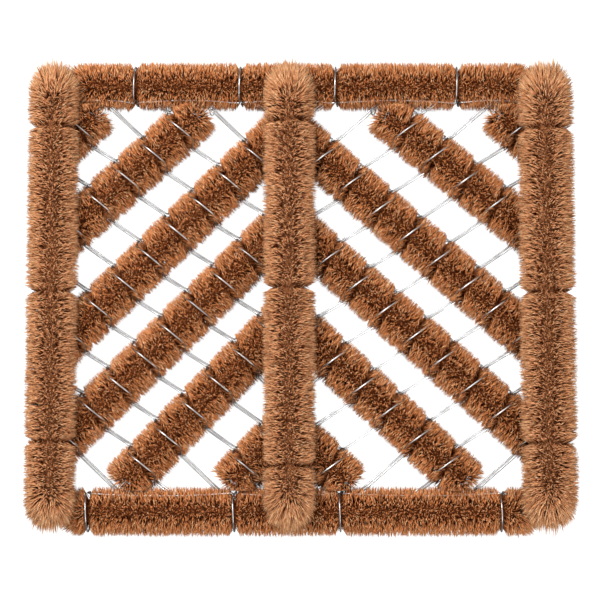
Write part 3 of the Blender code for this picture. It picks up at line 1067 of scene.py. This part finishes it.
def studio_world():
    """White to the camera. To all else, bright overhead and dim at the horizon, as under a large soft box."""
    world = bpy.data.worlds.new("studio")
    world.use_nodes = True
    tree = world.node_tree
    link = tree.links.new
    place_in = add_node(tree, "ShaderNodeTexCoord")
    split = add_node(tree, "ShaderNodeSeparateXYZ")
    height = add_node(tree, "ShaderNodeMapRange", interpolation_type="SMOOTHSTEP")
    height.inputs["From Min"].default_value = 0.25
    height.inputs["From Max"].default_value = 0.95
    height.inputs["To Min"].default_value = 0.10
    height.inputs["To Max"].default_value = 1.3
    seen = add_node(tree, "ShaderNodeLightPath")
    mix = add_node(tree, "ShaderNodeMix", data_type="FLOAT")
    mix.inputs["B"].default_value = 1.0
    link(place_in.outputs["Generated"], split.inputs["Vector"])
    link(split.outputs["Z"], height.inputs["Value"])
    link(seen.outputs["Is Camera Ray"], mix.inputs["Factor"])
    link(height.outputs["Result"], mix.inputs["A"])
    link(mix.outputs["Result"], tree.nodes["Background"].inputs["Strength"])
    tree.nodes["Background"].inputs["Color"].default_value = (1, 1, 1, 1)
    return world


class DOORMAT_OT_stage(bpy.types.Operator):
    """Make the floor, the lights and the camera"""

    bl_idname = "doormat.stage"
    bl_label = "Stage"

    def execute(self, context):
        stage = context.scene.door_mat_stage
        for kind in ("LIGHT", "CAMERA"):
            for old in [o for o in context.scene.objects if o.type == kind]:
                bpy.data.objects.remove(old, do_unlink=True)
        mesh = bpy.data.meshes.new("floor")
        corners = [(x * FLOOR_HALF, y * FLOOR_HALF, 0) for x, y in ((-1, -1), (1, -1), (1, 1), (-1, 1))]
        mesh.from_pydata(corners, [], [(0, 1, 2, 3)])
        floor = bpy.data.objects.new("floor", mesh)
        context.scene.collection.objects.link(floor)
        mesh.materials.append(floor_paint(stage.floor_colour))
        context.scene.world = studio_world()
        context.scene.view_settings.view_transform = "Standard"
        for light in LIGHTS:
            area_light(*light)
        lens = bpy.data.cameras.new("camera")
        lens.lens = stage.lens
        camera = bpy.data.objects.new("camera", lens)
        toward = np.array([0.0, -math.cos(stage.elevation), math.sin(stage.elevation)])
        camera.location = AIM + stage.distance * toward
        camera.rotation_euler = (math.pi / 2 - stage.elevation, 0, 0)
        context.scene.collection.objects.link(camera)
        context.scene.camera = camera
        return {"FINISHED"}


class DOORMAT_PT_panel(bpy.types.Panel):
    """Lists the settings and the steps of the mat"""

    bl_idname = "DOORMAT_PT_panel"
    bl_label = "Door mat"
    bl_space_type = "VIEW_3D"
    bl_region_type = "UI"
    bl_category = "Door mat"

    def draw(self, context):
        for name in SETTINGS:
            box = self.layout.box()
            group = getattr(context.scene, name)
            for key in group.__annotations__:
                box.prop(group, key)
        for step in STEPS:
            self.layout.operator(step.bl_idname)


SETTINGS = {
    "door_mat_coir": CoirSettings,
    "door_mat_wires": WireSettings,
    "door_mat_finish": FinishSettings,
    "door_mat_stage": StageSettings,
}
STEPS = (
    DOORMAT_OT_stage,
    DOORMAT_OT_upright_brushes,
    DOORMAT_OT_rail_brushes,
    DOORMAT_OT_strip_brushes,
    DOORMAT_OT_brush_cores,
    DOORMAT_OT_row_wires,
    DOORMAT_OT_rail_bindings,
    DOORMAT_OT_upright_ties,
)


def register():
    for name, group in SETTINGS.items():
        bpy.utils.register_class(group)
        setattr(bpy.types.Scene, name, bpy.props.PointerProperty(type=group))
    for step in (*STEPS, DOORMAT_PT_panel):
        bpy.utils.register_class(step)


def unregister():
    for step in reversed((*STEPS, DOORMAT_PT_panel)):
        bpy.utils.unregister_class(step)
    for name, group in reversed(SETTINGS.items()):
        delattr(bpy.types.Scene, name)
        bpy.utils.unregister_class(group)


def main():
    register()
    bpy.ops.doormat.stage()
    bpy.ops.doormat.upright_brushes()
    bpy.ops.doormat.rail_brushes()
    bpy.ops.doormat.strip_brushes()
    bpy.ops.doormat.brush_cores()
    bpy.ops.doormat.row_wires()
    bpy.ops.doormat.rail_bindings()
    bpy.ops.doormat.upright_ties()


if __name__ == "__main__":
    main()
